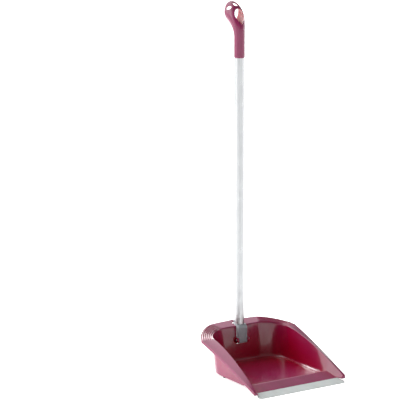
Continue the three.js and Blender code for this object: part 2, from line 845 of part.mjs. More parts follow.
// The opening in the back of the neck.
function throatCutter() {
  const geometry = new THREE.ExtrudeGeometry(ovalOutline(grip.throatHalfWidth, grip.throatHalfHeight), {
    depth: 2 * collarRadius,
    bevelEnabled: false,
    curveSegments: 8,
  });
  geometry.rotateX(-Math.PI / 2);
  geometry.translate(0, overlap, gripBottom + grip.throatRise);
  return solidFrom(geometry);
}

function gripSolid() {
  const hollow = gripBar(grip.wall, tubeTop + gap - past);
  let solid = gripBar(0, gripBottom)
    .subtract(hollow)
    .subtract(gripBore())
    .subtract(collarBevel())
    .subtract(mouthCutter())
    .subtract(throatCutter())
    .subtract(gripPunch(eyeOutline(), grip.eyeBend, 0));
  for (const side of [-1, 0, 1]) {
    const oval = ovalOutline(...grip.crownHole, turn(-side * grip.crownFan));
    solid = solid.subtract(gripPunch(oval, grip.crownBend, side * grip.crownSpread));
  }
  return solid;
}

// ---------------------------------------------------------------- assembly

const raspberry = { color: 0xa32c62, roughness: 0.32, metalness: 0 };
const lightRubber = { color: 0xb2b6b5, roughness: 0.6, metalness: 0 };
const darkRubber = { color: 0x26242a, roughness: 0.7, metalness: 0 };
const greyPlastic = { color: 0x80878c, roughness: 0.45, metalness: 0 };
const aluminium = { color: 0xd6d8da, roughness: 0.3, metalness: 0.9 };
const steel = { color: 0xa9acae, roughness: 0.35, metalness: 1 };

const frontFootX = baseSideX - pan.wall - foot.sideInset;

const panGroup = new THREE.Group();
panGroup.add(
  namedMesh("pan_body", panBody(), raspberry),
  namedMesh("lip_strip", lipStrip(), lightRubber),
  namedMesh("foot_front_right", footPad(frontFootX, foot.frontReach), darkRubber),
  namedMesh("foot_front_left", footPad(-frontFootX, foot.frontReach), darkRubber),
  namedMesh("foot_rear_right", footPad(foot.rearX, foot.rearReach), darkRubber),
  namedMesh("foot_rear_left", footPad(-foot.rearX, foot.rearReach), darkRubber),
  namedMesh("hinge_pin", hingePin(), steel),
  namedMesh("pin_cap", pinCap(), greyPlastic),
);

const handleGroup = new THREE.Group();
handleGroup.add(
  namedMesh("handle_tube", handleTube(), aluminium),
  namedMesh("handle_boot", handleBoot(), greyPlastic),
  namedMesh("grip", gripSolid(), raspberry),
);

const dustpan = new THREE.Group();
dustpan.add(panGroup, handleGroup);
const reach = new THREE.Box3().setFromObject(dustpan);
dustpan.position.y = -(reach.min.y + reach.max.y) / 2;

export default dustpan;
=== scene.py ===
"""Looks for a long-handled dustpan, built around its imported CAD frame.

Shapes are worked out in millimetres from the handle's axis (X = 0, Y = 0, -Y towards the pan's
mouth), and place() puts them in the row frame, in metres.
"""

import math

import bmesh
import bpy
from mathutils import Matrix, Vector


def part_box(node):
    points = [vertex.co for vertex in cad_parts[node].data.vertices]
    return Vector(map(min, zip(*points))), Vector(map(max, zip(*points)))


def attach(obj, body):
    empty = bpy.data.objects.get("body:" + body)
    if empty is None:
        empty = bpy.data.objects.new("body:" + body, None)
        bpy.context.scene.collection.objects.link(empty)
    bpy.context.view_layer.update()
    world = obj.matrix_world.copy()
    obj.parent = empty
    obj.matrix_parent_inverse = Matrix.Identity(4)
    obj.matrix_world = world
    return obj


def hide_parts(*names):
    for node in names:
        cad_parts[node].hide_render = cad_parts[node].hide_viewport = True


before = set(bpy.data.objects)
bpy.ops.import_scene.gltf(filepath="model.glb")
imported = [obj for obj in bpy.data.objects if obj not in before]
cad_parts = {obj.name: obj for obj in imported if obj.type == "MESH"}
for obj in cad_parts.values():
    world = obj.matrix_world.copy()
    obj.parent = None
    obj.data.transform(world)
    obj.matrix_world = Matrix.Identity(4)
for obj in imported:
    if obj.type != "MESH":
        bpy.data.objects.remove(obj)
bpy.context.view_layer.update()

MM = 0.001

# ---------------------------------------------------------------- sizes read from the frame

tube_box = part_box("handle_tube")
AXIS = Vector((0, (tube_box[0].y + tube_box[1].y) / 2, 0))


def box_mm(node):
    """A CAD node's corners in millimetres, from the handle's axis."""
    low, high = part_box(node)
    return (low - AXIS) / MM, (high - AXIS) / MM


TUBE_LOW, TUBE_HIGH = box_mm("handle_tube")
PAN_HIGH = box_mm("pan_body")[1]
LIP_LOW, LIP_HIGH = box_mm("lip_strip")
BOOT_LOW, BOOT_HIGH = box_mm("handle_boot")
GRIP_LOW, GRIP_HIGH = box_mm("grip")
PIN_LOW, PIN_HIGH = box_mm("hinge_pin")
CAP_LOW, CAP_HIGH = box_mm("pin_cap")

GAP = 0.3  # between pieces that touch
OVERLAP = 2  # how far two shapes of one piece run into each other
PAST = 1  # how far a cutter runs past the face it opens

TUBE_RADIUS = TUBE_HIGH.x
TUBE_WALL = 1
PIVOT_Y = (PIN_LOW.y + PIN_HIGH.y) / 2
PIVOT_Z = (PIN_LOW.z + PIN_HIGH.z) / 2
HEAD_RADIUS = (PIN_HIGH.z - PIN_LOW.z) / 2
HEAD_LIP = 1.2  # how far the pin's head stands out round its shank
PIN_RADIUS = HEAD_RADIUS - HEAD_LIP

WALL = 2.2  # of the pan
HALF_WIDTH = PAN_HIGH.x
REAR = PAN_HIGH.y
LIP_LENGTH = 25  # ramp's front edge to the lip's
RAMP_LENGTH = 34  # ridge to the ramp's front edge
TIP_OVERHANG = 13  # ramp's front edge to the tips of the rim
STEP_SETBACK = 85  # tips to the step in the lower edge of the walls
LIP_FRONT = -LIP_LOW.y
RAMP_END = LIP_FRONT - LIP_LENGTH
TIP_REACH = RAMP_END + TIP_OVERHANG
RIDGE_REACH = RAMP_END - RAMP_LENGTH
STEP_REACH = TIP_REACH - STEP_SETBACK
STEP_SLOPE = 1  # half the length of the step

FLOOR_TOP = 9
FLOOR_THICKNESS = 2.2
RIDGE_TOP = FLOOR_TOP + 7.5
RIDGE_FLAT = 3
RIDGE_SLOPE = 7  # length of the short slope behind the ridge
RAMP_END_TOP = 7.5
RAMP_FALL = (RIDGE_TOP - RAMP_END_TOP) / (RAMP_END - RIDGE_REACH - RIDGE_FLAT / 2)
PLINTH = 4.5  # lower edge of the walls behind the step
FRONT_PLINTH = 6.5  # and in front of it

# The rim falls from the back to the shoulders, and from there in a curve to its tips.
RIM_RISE = 40  # pin to the rim's outer edge at the back
BACK_DROP = 6.5  # outer edge to inner edge at the back
SHOULDER_DROP = 10  # back to shoulders, at the outer edge
INNER_SHOULDER_DROP = 2  # how much lower the inner edge is there
SHOULDER_REACH = 17
INNER_SHOULDER_REACH = 37
OUTER_FALL = 1.2  # powers of the falling curves: 1 is a straight line
INNER_FALL = 1.6
SKIRT = 7  # height of the turned-down edge
TIP_TOP = 13
RIM_TOP = PIVOT_Z + RIM_RISE
INNER_TOP = RIM_TOP - BACK_DROP
SHOULDER_TOP = RIM_TOP - SHOULDER_DROP
INNER_SHOULDER_TOP = SHOULDER_TOP - INNER_SHOULDER_DROP

# How far the rim's edges and the feet of the walls stand from the middle.
TIP_INSET = 5
TIP_WIDTH = 6  # of the flange at the tips
SIDE_WIDTH = 28  # of the flange at the shoulders
SIDE_LEAN = 1  # how much further in the foot of the wall stands than the flange's inner edge
RIDGE_LEAN = 2.5
TIP_LEAN = 1
BACK_LEAN = 6
TIP_X = HALF_WIDTH - TIP_INSET
INNER_TIP_X = TIP_X - TIP_WIDTH
BASE_TIP_X = INNER_TIP_X - TIP_LEAN
INNER_SIDE_X = HALF_WIDTH - SIDE_WIDTH
BASE_SIDE_X = INNER_SIDE_X - SIDE_LEAN
KNEE_X = INNER_SIDE_X - RIDGE_LEAN
INNER_BACK = PIVOT_Y + HEAD_RADIUS + GAP + WALL + BACK_LEAN * (INNER_TOP - PIVOT_Z) / (INNER_TOP - FLOOR_TOP)
BASE_BACK = INNER_BACK - BACK_LEAN
BACK_BOW = 4  # how much further back the rim's middle is than the ends of its corners

# Rear corners in plan: how far each runs in from the side and forward from the back, and the power
# of its superellipse, where 2 is an ellipse and lower is flatter.
OUTER_CORNER = (69, 67, 1.4)
INNER_CORNER = (56, 53, 1.8)
BASE_CORNER = (57, 63, 2)

LIP_FLAP = 0.9  # rubber over and under the pan's tongue
TONGUE_LENGTH = 8
TONGUE_THICKNESS = 1.2
TONGUE_INSET = 6

BOOT_HALF_WIDTH = BOOT_HIGH.x
BOOT_SHOULDER = TUBE_LOW.z - GAP  # where the tube stands on the boot
PLATE_TOP = PIVOT_Z + 30  # of the boot's front plate
NOTCH_HALF_WIDTH = BOOT_HALF_WIDTH + 1
NOTCH_BACK = BOOT_HIGH.y + GAP
NOTCH_BOTTOM = BOOT_LOW.z - 2
CHEEK_INNER = BOOT_HALF_WIDTH + GAP
CHEEK_OUTER = CHEEK_INNER + 4.5
CHEEK_WEB = 4.3  # plastic round the pin's hole

# ---------------------------------------------------------------- mesh tools


def mix(a, b, share):
    return a + (b - a) * share


def ease(value, start, end):
    """0 before start, 1 after end and smooth between them."""
    share = min(max((value - start) / (end - start), 0), 1)
    return share * share * (3 - 2 * share)


def place(point):
    return AXIS + Vector(point) * MM


def object_from(name, points, faces):
    mesh = bpy.data.meshes.new(name)
    mesh.from_pydata([place(p) for p in points], [], faces)
    work = bmesh.new()
    work.from_mesh(mesh)
    bmesh.ops.recalc_face_normals(work, faces=work.faces)
    work.to_mesh(mesh)
    work.free()
    made = bpy.data.objects.new(name, mesh)
    bpy.context.scene.collection.objects.link(made)
    return made


def skin(name, rings):
    """A closed body through rings of equal length, with a flat cap on the first and last."""
    size = len(rings[0])
    faces = [tuple(range(size)), tuple((len(rings) - 1) * size + k for k in range(size))]
    for r in range(len(rings) - 1):
        for k in range(size):
            a = r * size + k
            b = r * size + (k + 1) % size
            faces.append((a, b, b + size, a + size))
    return object_from(name, [p for ring in rings for p in ring], faces)


def prism_up(name, outline, bottom, top):
    """An (x, y) outline raised between two heights."""
    return skin(name, [[(x, y, z) for x, y in outline] for z in (bottom, top)])


def prism_across(name, outline, from_x, to_x):
    """A (y, z) outline drawn out across the part."""
    return skin(name, [[(x, y, z) for y, z in outline] for x in (from_x, to_x)])


def lathe(name, profile, centre=(0, 0), sides=96):
    """A turned body about the vertical through centre. The (radius, z) profile closes on itself,
    or starts and ends on the axis."""
    hollow = profile[0][0] > 0
    points, faces = [], []
    for k in range(sides):
        angle = 2 * math.pi * k / sides
        for radius, z in profile:
            points.append((centre[0] + radius * math.cos(angle), centre[1] + radius * math.sin(angle), z))
    count = len(profile)
    for k in range(sides):
        a = k * count
        b = (k + 1) % sides * count
        for j in range(count - (0 if hollow else 1)):
            n = (j + 1) % count
            faces.append((a + j, b + j, b + n, a + n))
    made = object_from(name, points, faces)
    work = bmesh.new()
    work.from_mesh(made.data)
    bmesh.ops.remove_doubles(work, verts=work.verts, dist=1e-7)
    bmesh.ops.dissolve_degenerate(work, edges=work.edges, dist=1e-7)
    bmesh.ops.recalc_face_normals(work, faces=work.faces)
    work.to_mesh(made.data)
    work.free()
    return made


def lathe_across(name, profile, y, z, sides=64):
    """The same about the X direction through (y, z), from (radius, x) points."""
    made = lathe(name, profile, sides=sides)
    turn = Matrix(((0, 0, 1, 0), (0, 1, 0, 0), (-1, 0, 0, 0), (0, 0, 0, 1)))
    made.data.transform(Matrix.Translation(-AXIS))
    made.data.transform(turn)
    made.data.transform(Matrix.Translation(AXIS + Vector((0, y, z)) * MM))
    return made


def rounded(points, radii, steps=5):
    """A closed ring with each corner replaced by a curve that starts a radius away from it."""
    ring = []
    for k, (corner, radius) in enumerate(zip(points, radii)):
        corner = Vector(corner)
        if radius == 0:
            ring.append(corner)
            continue
        before = Vector(points[k - 1]) - corner
        after = Vector(points[(k + 1) % len(points)]) - corner
        start = corner + before * min(radius / max(before.length, 1e-6), 0.45)
        end = corner + after * min(radius / max(after.length, 1e-6), 0.45)
        for j in range(steps + 1):
            t = j / steps
            ring.append(start * (1 - t) ** 2 + corner * 2 * t * (1 - t) + end * t**2)
    return ring


def bake(piece):
    """Applies a piece's modifiers."""
    bpy.context.view_layer.update()
    graph = bpy.context.evaluated_depsgraph_get()
    mesh = bpy.data.meshes.new_from_object(piece.evaluated_get(graph))
    piece.modifiers.clear()
    piece.data = mesh


def combine(piece, other, how):
    """Joins another solid to a piece, or cuts it away, and removes the other."""
    step = piece.modifiers.new("combine", "BOOLEAN")
    step.operation = how
    step.solver = "MANIFOLD"
    step.object = other
    bake(piece)
    bpy.data.objects.remove(other)


def add(piece, *others):
    for other in others:
        combine(piece, other, "UNION")


def cut(piece, *others):
    for other in others:
        combine(piece, other, "DIFFERENCE")


def soften(piece, width, segments=2, angle=40):
    """Rounds the edges that are sharper than an angle."""
    step = piece.modifiers.new("soften", "BEVEL")
    step.width = width * MM
    step.segments = segments
    step.limit_method = "ANGLE"
    step.angle_limit = math.radians(angle)
    step.miter_outer = "MITER_ARC"
    bake(piece)


def keep_largest(piece):
    """Deletes every loose island of a mesh but the largest."""
    work = bmesh.new()
    work.from_mesh(piece.data)
    left = set(work.verts)
    islands = []
    while left:
        island = {left.pop()}
        edge_of_island = list(island)
        while edge_of_island:
            near = {e.other_vert(v) for v in edge_of_island for e in v.link_edges} & left
            left -= near
            island |= near
            edge_of_island = list(near)
        islands.append(island)
    islands.sort(key=len)
    for island in islands[:-1]:
        bmesh.ops.delete(work, geom=list(island), context="VERTS")
    work.to_mesh(piece.data)
    work.free()


def mould(piece, voxel, rounds):
    """Remeshes a piece evenly and rounds its edges a little, as moulding does."""
    step = piece.modifiers.new("remesh", "REMESH")
    step.mode = "VOXEL"
    step.voxel_size = voxel * MM
    step = piece.modifiers.new("round", "SMOOTH")
    step.factor = 0.5
    step.iterations = rounds
    bake(piece)
    keep_largest(piece)
    piece.data.shade_smooth()


def shade(piece, angle=32):
    """Smooth shading that keeps the edges sharper than an angle."""
    piece.data.shade_smooth()
    piece.data.set_sharp_from_angle(angle=math.radians(angle))
    step = piece.modifiers.new("shade", "WEIGHTED_NORMAL")
    step.keep_sharp = True
    bake(piece)


# ---------------------------------------------------------------- the pan's outlines

SIDE_SHARE = 0.42  # parts of the half rim that its side and its corner take up
CORNER_SHARE = 0.42
TIP_START = 0.012  # share of the side where the wall starts, just inside its rounded end
NUDGE = 1e-3  # a short step along an outline
BEFORE_END = 1 - 1e-6


def half_outline(tip, side_x, back_y, centre_y, corner, knee=None):
    """Half of a U in plan, from the tip on the +X side (0) to the middle of the back (1)."""
    run, depth, power = corner
    side = (side_x, back_y - depth)
    back = (side_x - run, back_y)

    def edge(along):
        if along < SIDE_SHARE:
            y = mix(tip[1], side[1], along / SIDE_SHARE)
            if knee is None:
                return mix(tip[0], side[0], along / SIDE_SHARE), y
            if y < knee[1]:
                return mix(tip[0], knee[0], (y - tip[1]) / (knee[1] - tip[1])), y
            return mix(knee[0], side[0], (y - knee[1]) / (side[1] - knee[1])), y
        if along < SIDE_SHARE + CORNER_SHARE:
            angle = (along - SIDE_SHARE) / CORNER_SHARE * math.pi / 2
            inward = max(math.cos(angle), 0) ** (2 / power)
            backward = math.sin(angle) ** (2 / power)
            return mix(back[0], side[0], inward), mix(side[1], back[1], backward)
        share = (along - SIDE_SHARE - CORNER_SHARE) / (1 - SIDE_SHARE - CORNER_SHARE)
        return mix(back[0], 0, share), mix(back[1], centre_y, share)

    return edge


outer_edge = half_outline((TIP_X, -TIP_REACH), HALF_WIDTH, REAR - BACK_BOW, REAR, OUTER_CORNER)
inner_edge = half_outline((INNER_TIP_X, -TIP_REACH), INNER_SIDE_X, INNER_BACK, INNER_BACK, INNER_CORNER)
base_edge = half_outline(
    (BASE_TIP_X, -TIP_REACH), BASE_SIDE_X, BASE_BACK, BASE_BACK, BASE_CORNER, knee=(KNEE_X, -RIDGE_REACH)
)


def rim_height(y, back_y, top, shoulder_top, shoulder_y, power):
    """Falls from the back to the shoulders, then in a curve down to the tips."""
    if y > shoulder_y:
        return mix(shoulder_top, top, (y - shoulder_y) / (back_y - shoulder_y))
    share = min((shoulder_y - y) / (shoulder_y + TIP_REACH), 1)
    return shoulder_top - (shoulder_top - TIP_TOP) * share**power


def outer_height(y):
    return rim_height(y, REAR, RIM_TOP, SHOULDER_TOP, -SHOULDER_REACH, OUTER_FALL)


def inner_height(y):
    return rim_height(y, INNER_BACK, INNER_TOP, INNER_SHOULDER_TOP, -INNER_SHOULDER_REACH, INNER_FALL)


def outward(edge, along):
    """The direction square to an outline, in plan, away from the pan."""
    ax, ay = edge(max(along - NUDGE, 0))
    bx, by = edge(min(along + NUDGE, BEFORE_END))
    length = math.hypot(bx - ax, by - ay)
    return (by - ay) / length, -(bx - ax) / length


# ---------------------------------------------------------------- pan body

RIB_COUNT = 5
RIB_HEIGHT = 2.1
RIB_STEPS = 8  # points across each rib
RIB_START = (0.41, 0.47)  # shares of the half rim over which the ribs rise
RIB_END = (0.78, 0.84)  # and fade out
RIB_MARGIN = 0.1  # plain share of the flange beside each edge
RIB_POWER = 0.7  # below 1 rounds the tops of the ribs
RIB_SINK = 0.45  # share of the ribs that lies under the flange
FOOT_FILLET = 9  # where the walls run into the floor
FILLET_FADE = (6, 30)  # behind the ridge, where that fillet grows
STRIP_COUNT = 6  # strips in a wall's height
MOST_ROOM = 0.4  # largest share of a wall's height left free at each end
SIDE_STEPS = 44
CORNER_STEPS = 46
BACK_STEPS = 12
BACK_START = 0.86
MIDDLE_END = 0.999  # the sections stop just short of the middle of the back


def flange_points(inner, outer, along):
    """Points over the flange from near its outer edge to near its inner one, over the pressed ribs."""
    raised = RIB_HEIGHT * (ease(along, *RIB_START) - ease(along, *RIB_END))
    points = []
    count = RIB_COUNT * RIB_STEPS
    for k in range(count + 1):
        share = k / count
        wave = abs(math.sin(math.pi * share * RIB_COUNT))
        spot = outer.lerp(inner, mix(RIB_MARGIN, 1 - RIB_MARGIN, share))
        points.append(spot + Vector((0, 0, raised * (wave**RIB_POWER - RIB_SINK))))
    return points


def strips(start, end, start_room, end_room):
    """Points that divide a wall's height evenly, leaving room for the curves at its ends."""
    length = (end - start).length
    first = min(start_room / length, MOST_ROOM)
    last = 1 - min(end_room / length, MOST_ROOM)
    return [(start.lerp(end, mix(first, last, k / STRIP_COUNT)), 0) for k in range(STRIP_COUNT + 1)]


def wall_section(along, mirror):
    """One section of the wall, flange and skirt, with a short stretch of floor at its foot."""
    ox, oy = outer_edge(along)
    ix, iy = inner_edge(along)
    bx, by = base_edge(along)
    nx, ny = outward(base_edge, along)
    outer = Vector((ox, oy, outer_height(oy)))
    inner = Vector((ix, iy, inner_height(iy)))
    across = Vector((ox - ix, oy - iy, 0)).normalized()
    inward = Vector((-nx, -ny, 0))
    wall = across * WALL
    down = Vector((0, 0, -1))
    bottom = mix(FRONT_PLINTH, PLINTH, ease(by, -STEP_REACH - STEP_SLOPE, -STEP_REACH + STEP_SLOPE))
    skirt_bottom = max(outer.z - SKIRT, FRONT_PLINTH)
    skirt_foot = Vector((ox, oy, skirt_bottom))
    base = Vector((bx, by, bottom))
    foot = base + inward * WALL
    on_floor = ease(by, -RIDGE_REACH + FILLET_FADE[0], -RIDGE_REACH + FILLET_FADE[1])
    fillet = mix(1, FOOT_FILLET, on_floor)
    shelf = inward * mix(0.2, FOOT_FILLET + 3, on_floor)
    sunk = 0.01  # keeps this strip of floor just under the slab's top face
    foot_top = foot.copy()
    foot_top.z = FLOOR_TOP - sunk
    foot_under = foot.copy()
    foot_under.z = FLOOR_TOP - FLOOR_THICKNESS

    under_inner = inner + wall + down * WALL
    # Each point goes with the size of its round.
    corners = [(base, 0.7)]
    corners += strips(base, under_inner, 3, 9)
    corners += [
        (under_inner, 4),
        (outer - wall + down * WALL, 1.5),
        (skirt_foot - wall, 0.8),
        (skirt_foot, 0.8),
        (outer, 2.2),
    ]
    corners += [(p, 0) for p in flange_points(inner, outer, along)]
    corners += [(inner, 3)]
    corners += strips(inner, foot_top, 7, 2.3 * FOOT_FILLET)
    corners += [
        (foot_top, fillet),
        (foot_top + shelf, 0.1),
        (foot_under + shelf, 0.1),
        (foot_under, 0.3),
        (foot, 0.3),
    ]
    ring = rounded([c[0] for c in corners], [c[1] for c in corners])
    return [(mirror * p.x, p.y, p.z) for p in ring]


def wall_stations():
    """Places along the half rim, from the tip to just short of the middle."""
    corner_length = CORNER_SHARE * MIDDLE_END
    stations = [SIDE_SHARE * mix(TIP_START, 1, k / SIDE_STEPS) for k in range(SIDE_STEPS)]
    stations += [SIDE_SHARE + corner_length * k / CORNER_STEPS for k in range(CORNER_STEPS + 1)]
    stations += [mix(BACK_START, MIDDLE_END, k / BACK_STEPS) for k in range(BACK_STEPS + 1)]
    _, tip_y = base_edge(0)
    _, side_y = base_edge(SIDE_SHARE)
    crest_back = -RIDGE_REACH + RIDGE_FLAT / 2
    step = (-STEP_REACH - STEP_SLOPE, -STEP_REACH, -STEP_REACH + STEP_SLOPE)
    for y in (*step, crest_back, crest_back + RIDGE_SLOPE):
        stations.append(SIDE_SHARE * (y - tip_y) / (side_y - tip_y))
    return sorted(stations)


def tip_end(side):
    """The solid, rounded end of the rim at each tip."""
    inner_x = BASE_TIP_X - WALL
    length = 5
    taper = 0.3
    outline = [
        (side * (inner_x + taper), -TIP_REACH),
        (side * (TIP_X - taper), -TIP_REACH),
        (side * TIP_X, -TIP_REACH + length),
        (side * inner_x, -TIP_REACH + length),
    ]
    block = prism_up("tip", flat_rounded(outline, [2, 2, 0, 0]), FRONT_PLINTH, TIP_TOP)
    soften(block, 1.2, 4, 60)
    return block


def pan_walls():
    stations = wall_stations()
    right = [wall_section(s, 1) for s in stations]
    left = [wall_section(s, -1) for s in reversed(stations)]
    return skin("pan_body_moulding", right + left)


def ramp_top(reach):
    return RAMP_END_TOP + (RAMP_END - reach) * RAMP_FALL


def floor_middle(reach):
    """Height of the middle of the floor, ridge or ramp."""
    if reach > RIDGE_REACH + RIDGE_FLAT / 2:
        return ramp_top(reach) - FLOOR_THICKNESS / 2
    rise = 1 - (RIDGE_REACH - RIDGE_FLAT / 2 - reach) / RIDGE_SLOPE
    return mix(FLOOR_TOP, RIDGE_TOP, min(max(rise, 0), 1)) - FLOOR_THICKNESS / 2


def floor_plan():
    """The middle of the leaning walls in plan, at the height where the floor or ridge meets them."""
    half = WALL / 2
    right = []
    for along in wall_stations():
        bx, by = base_edge(along)
        ix, iy = inner_edge(along)
        nx, ny = outward(base_edge, along)
        bottom = FRONT_PLINTH if by < -STEP_REACH else PLINTH
        share = max(floor_middle(-by) - bottom, 0) / (inner_height(iy) - bottom)
        x = mix(bx - nx * half, ix + nx * half, share)
        right.append((x, mix(by - ny * half, iy + ny * half, share)))
    left = [(-x, y) for x, y in reversed(right)]
    front = right[0][0]
    return [(-front, -LIP_FRONT), (front, -LIP_FRONT)] + right + left


def flat_rounded(outline, radii, steps=6):
    """rounded() for two coordinates."""
    return [(p.x, p.y) for p in rounded([(a, b, 0) for a, b in outline], radii, steps)]


def floor_slab():
    crest_back = RIDGE_REACH - RIDGE_FLAT / 2
    crest_front = RIDGE_REACH + RIDGE_FLAT / 2
    toe = crest_back - RIDGE_SLOPE
    under = FLOOR_TOP - FLOOR_THICKNESS
    outline = [
        (REAR, FLOOR_TOP),
        (-toe, FLOOR_TOP),
        (-crest_back, RIDGE_TOP),
        (-crest_front, RIDGE_TOP),
        (-RAMP_END, RAMP_END_TOP),
        (-RAMP_END, RAMP_END_TOP - FLOOR_THICKNESS),
        (-crest_front, RIDGE_TOP - FLOOR_THICKNESS),
        (-crest_back - WALL, RIDGE_TOP - FLOOR_THICKNESS),
        (-toe - WALL, under),
        (REAR, under),
    ]
    radii = [0, 4, 2.2, 2.2, 0.3, 0.3, 1, 1, 2, 0]
    slab = prism_across("floor", flat_rounded(outline, radii), -HALF_WIDTH, HALF_WIDTH)
    combine(slab, prism_up("plan", floor_plan(), 0, RIM_TOP), "INTERSECT")
    return slab


def inner_half_width(reach):
    """Half the width between the flared walls in front of the ridge."""
    length = TIP_REACH - RIDGE_REACH
    wall_across = WALL * math.hypot(1, (BASE_TIP_X - KNEE_X) / length)
    return mix(BASE_TIP_X, KNEE_X, (TIP_REACH - reach) / length) - wall_across


def tongue():
    """The pan's thin front edge, which the lip is pushed on to."""
    start = RAMP_END - OVERLAP
    end = RAMP_END + TONGUE_LENGTH
    outline = [
        (-start, ramp_top(start) - LIP_FLAP - GAP),
        (-end, ramp_top(end) - LIP_FLAP - GAP),
        (-end, ramp_top(end) - LIP_FLAP - GAP - TONGUE_THICKNESS),
        (-start, ramp_top(start) - LIP_FLAP - GAP - TONGUE_THICKNESS),
    ]
    half_width = inner_half_width(RAMP_END) - TONGUE_INSET
    return prism_across("tongue", outline, -half_width, half_width)


def notch():
    """The cutter for the gap in the back wall and flange where the boot turns."""
    front = -60
    corner_round = 7
    clear_top = RIM_TOP + 20
    outline = [
        (-NOTCH_HALF_WIDTH, front),
        (NOTCH_HALF_WIDTH, front),
        (NOTCH_HALF_WIDTH, NOTCH_BACK),
        (-NOTCH_HALF_WIDTH, NOTCH_BACK),
    ]
    rounded_outline = flat_rounded(outline, [0, 0, corner_round, corner_round], 12)
    return prism_up("notch", rounded_outline, NOTCH_BOTTOM, clear_top)


def circle_points(y, z, radius, first, last, steps):
    """An arc between two angles in degrees, with both its ends."""
    points = []
    for k in range(steps + 1):
        angle = math.radians(mix(first, last, k / steps))
        points.append((y + radius * math.cos(angle), z + radius * math.sin(angle)))
    return points


def cheek(side):
    """An ear beside the notch, round about the pin and run into the back wall."""
    radius = PIN_RADIUS + CHEEK_WEB
    wall_y = INNER_BACK - WALL / 2
    outline = [(wall_y, PIVOT_Z + radius)]
    outline += circle_points(PIVOT_Y, PIVOT_Z, radius, 90, 270, 32)
    outline += [(wall_y, PIVOT_Z - radius)]
    made = prism_across("cheek", outline, side * CHEEK_INNER, side * CHEEK_OUTER)
    soften(made, 0.6, 3, 60)
    return made


def pin_hole():
    outline = circle_points(PIVOT_Y, PIVOT_Z, PIN_RADIUS + GAP, 0, 360, 48)[:-1]
    return prism_across("pin_hole", outline, -CHEEK_OUTER - PAST, CHEEK_OUTER + PAST)


def pan_body():
    body = pan_walls()
    add(body, floor_slab(), tongue(), tip_end(1), tip_end(-1))
    cut(body, notch())
    add(body, cheek(1), cheek(-1))
    cut(body, pin_hole())
    shade(body)
    return body


# ---------------------------------------------------------------- lip and feet


def lip_strip():
    """The rubber wedge with the slot for the tongue, cut to its plan between the tips."""
    root = RAMP_END + GAP
    slot_end = RAMP_END + TONGUE_LENGTH + GAP
    front_edge = 0.8  # thickness
    tread = 9  # length that lies on the floor

    def slot_top(reach):
        return ramp_top(reach) - LIP_FLAP

    def slot_bottom(reach):
        return slot_top(reach) - TONGUE_THICKNESS - 2 * GAP

    outline = [
        (-LIP_FRONT, 0),
        (-LIP_FRONT, front_edge),
        (-root, ramp_top(root)),
        (-root, slot_top(root)),
        (-slot_end, slot_top(slot_end)),
        (-slot_end, slot_bottom(slot_end)),
        (-root, slot_bottom(root)),
        (-root, slot_bottom(root) - LIP_FLAP),
        (-LIP_FRONT + tread, 0),
    ]
    radii = [0.25, 0.3, 0.3, 0.15, 0.15, 0.15, 0.15, 0.3, 3]
    strip = prism_across("lip_strip_moulding", flat_rounded(outline, radii), -HALF_WIDTH, HALF_WIDTH)
    ear = LIP_HIGH.x
    ear_reach = TIP_REACH + 1
    ear_taper = 3.5
    neck = TIP_REACH - 2.5
    behind = root - 1
    right = [
        (ear - ear_taper, -LIP_FRONT),
        (ear, -ear_reach),
        (inner_half_width(neck) - GAP, -neck),
        (inner_half_width(behind) - GAP, -behind),
    ]
    left = [(-x, y) for x, y in reversed(right)]
    plan = flat_rounded(right + left, [1.2, 0.8, 1, 0.3, 0.3, 1, 0.8, 1.2])
    combine(strip, prism_up("lip_plan", plan, -1, RIDGE_TOP), "INTERSECT")
    shade(strip, 35)
    return strip


def foot_pad(node):
    """A turned rubber pad with a shallow hollow in the middle of its tread."""
    low, high = box_mm(node)
    centre = ((low.x + high.x) / 2, (low.y + high.y) / 2)
    top_radius = (high.x - low.x) / 2
    tread_radius = top_radius - 0.6
    hollow = 0.25
    edge = 0.7
    profile = [
        (0, hollow),
        (tread_radius * 0.55, hollow),
        (tread_radius * 0.62, 0),
        (tread_radius - edge, 0),
        (tread_radius - 0.2, 0.2),
        (tread_radius, edge),
        (top_radius, high.z - 0.4),
        (top_radius - 0.3, high.z),
        (0, high.z),
    ]
    pad = lathe(node + "_pad", profile, centre, 48)
    shade(pad, 40)
    return pad


# ---------------------------------------------------------------- tube, boot, pin and cap


CRIMP_RISES = (13, 27)  # tube's end to each row of dimples
CRIMP_COUNT = 3
CRIMP_TURN = -33  # degrees from the front to the first dimple of a row


def handle_tube():
    """The thin tube with broken edges and two rows of pressed dimples."""
    inner = TUBE_RADIUS - TUBE_WALL
    edge = 0.3
    low, high = TUBE_LOW.z, TUBE_HIGH.z
    profile = [
        (inner, low + edge),
        (inner + edge, low),
        (TUBE_RADIUS - edge, low),
        (TUBE_RADIUS, low + edge),
        (TUBE_RADIUS, high - edge),
        (TUBE_RADIUS - edge, high),
        (inner + edge, high),
        (inner, high - edge),
    ]
    tube = lathe("handle_tube_drawn", profile, sides=144)
    for rise in CRIMP_RISES:
        for k in range(CRIMP_COUNT):
            angle = math.radians(CRIMP_TURN + 360 / CRIMP_COUNT * k) - math.pi / 2
            cut(tube, crimp(angle, low + rise))
    shade(tube, 25)
    return tube


def crimp(angle, height):
    """A shallow round dimple, as a ball that just reaches into the tube."""
    ball_radius = 2.9
    depth = 0.6
    reach = TUBE_RADIUS + ball_radius - depth
    mesh = bpy.data.meshes.new("crimp")
    work = bmesh.new()
    bmesh.ops.create_uvsphere(work, u_segments=40, v_segments=28, radius=ball_radius * MM)
    centre = (reach * math.cos(angle), reach * math.sin(angle), height)
    bmesh.ops.translate(work, verts=work.verts, vec=place(centre))
    work.to_mesh(mesh)
    work.free()
    ball = bpy.data.objects.new("crimp", mesh)
    bpy.context.scene.collection.objects.link(ball)
    return ball


